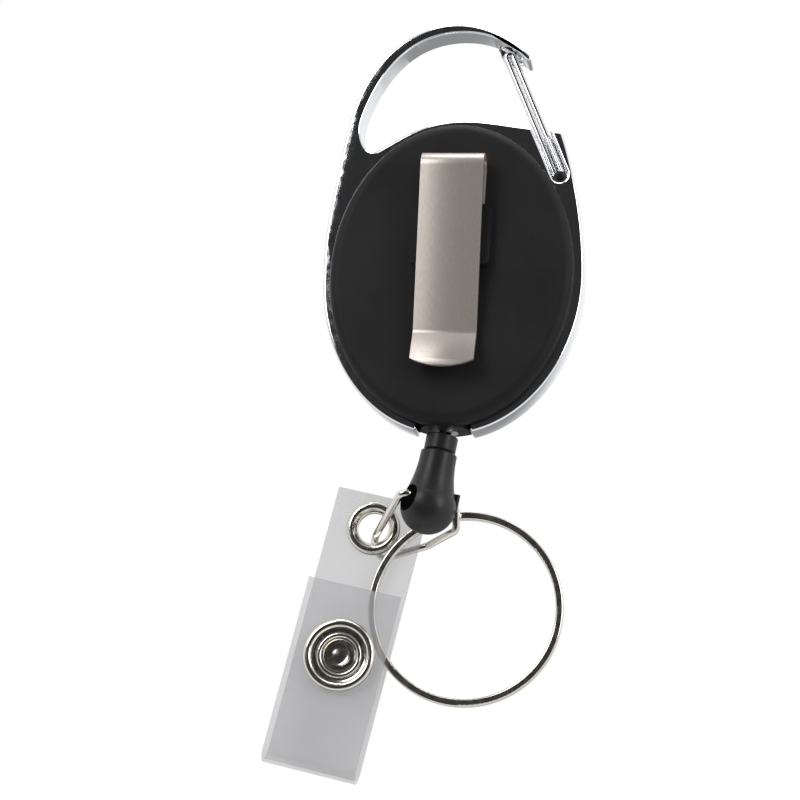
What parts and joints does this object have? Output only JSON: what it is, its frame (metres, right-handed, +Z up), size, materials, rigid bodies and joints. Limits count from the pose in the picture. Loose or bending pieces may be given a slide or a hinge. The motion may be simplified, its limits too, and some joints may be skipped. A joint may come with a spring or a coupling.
{
  "type": "retractable badge reel",
  "caption": "Oval cord reel in a carabiner frame with a wire gate and a belt clip; a swivel on the cord carries a split ring and a clear snap strap.",
  "frame": {"origin": "where a belt loop or ring bears on the underside of the carabiner's arch, on the centre line, with the reel hanging from it", "axes": "+Z up along the hanging reel, +Y out of its front face, -Y out of the belt clip side, +X towards the gate"},
  "size_m": [0.0458, 0.0183, 0.1207],
  "materials": {
    "chrome_cast": "polished plating over a casting",
    "chrome_wire": "bright drawn wire",
    "dark_steel": "blackened steel",
    "black_housing": "fine moulded grain",
    "black_gloss": "smooth, plain",
    "black_fitting": "smooth moulded, slight sheen",
    "nickel_strip": "warm nickel plate, lightly drawn along its length",
    "nickel_bright": "bright nickel plate",
    "spring_steel": "bare spring steel",
    "white_plastic": "natural moulded",
    "black_cord": "braided nylon",
    "clear_vinyl": "clear flexible vinyl"
  },
  "bodies": {
    "reel": {"carabiner_frame": "chrome_cast", "gate_pin": "dark_steel", "housing_front": "black_housing", "housing_back": "black_housing", "front_plate": "black_gloss", "belt_clip": "nickel_strip", "cord_ferrule": "nickel_bright", "spool_axle": "spring_steel", "power_spring": "spring_steel", "spring_cover": "spring_steel", "cord_lead": "black_cord"},
    "gate": {"gate_wire": "chrome_wire"},
    "spool": {"spool": "white_plastic", "cord_winding": "black_cord"},
    "cord_end": {"cord_collar": "black_fitting", "cord_tail": "black_cord", "cord_knot": "black_cord"},
    "fitting": {"swivel_body": "black_fitting"},
    "link": {"wire_loop": "nickel_bright"},
    "key_ring": {"key_ring": "nickel_bright"},
    "strap": {"strap_back": "clear_vinyl", "eyelet": "nickel_bright", "eyelet_washer": "nickel_bright", "snap_stud": "nickel_bright", "snap_rear_disc": "nickel_bright"},
    "flap": {"strap_flap": "clear_vinyl", "snap_cap": "nickel_bright", "snap_socket": "nickel_bright"}
  },
  "joints": [
    {"name": "gate_swing", "type": "hinge", "parent": "reel", "child": "gate", "pos_m": [0.0159, -0.0005, -0.0242], "axis": [0, -1, 0], "range_deg": [0, 12], "stiffness_Nm_per_rad": 0.03, "springref_deg": -20.05},
    {"name": "spool_spin", "type": "hinge", "parent": "reel", "child": "spool", "pos_m": [0, 0, -0.041], "axis": [0, 1, 0], "continuous": true},
    {"name": "cord_pull", "type": "slide", "parent": "reel", "child": "cord_end", "axis": [-0.1392, 0, -0.9903], "range_m": [0, 0.6], "stiffness_N_per_m": 1, "springref_m": -2},
    {"name": "swivel_turn", "type": "hinge", "parent": "cord_end", "child": "fitting", "pos_m": [-0.00093, 0, -0.07065], "axis": [0.1392, 0, 0.9903], "continuous": true},
    {"name": "loop_swing", "type": "hinge", "parent": "fitting", "child": "link", "pos_m": [-0.00176, 0, -0.07649], "axis": [0.766, 0.6428, 0], "range_deg": [0, 20]},
    {"name": "ring_swing", "type": "hinge", "parent": "link", "child": "key_ring", "pos_m": [-0.0073, 0.0051, -0.083], "axis": [0, -1, 0], "range_deg": [0, 12]},
    {"name": "strap_swing", "type": "hinge", "parent": "link", "child": "strap", "pos_m": [-0.0112, 0.0062, -0.0796], "axis": [0, 1, 0], "range_deg": [0, 18]},
    {"name": "flap_open", "type": "hinge", "parent": "strap", "child": "flap", "pos_m": [-0.01784, 0.0026, -0.11585], "axis": [0.9816, 0, -0.1908], "range_deg": [0, 90]}
  ],
  "couplings": [
    {"joint": "spool_spin", "follows": "cord_pull", "rad_per_m": 90.09}
  ]
}
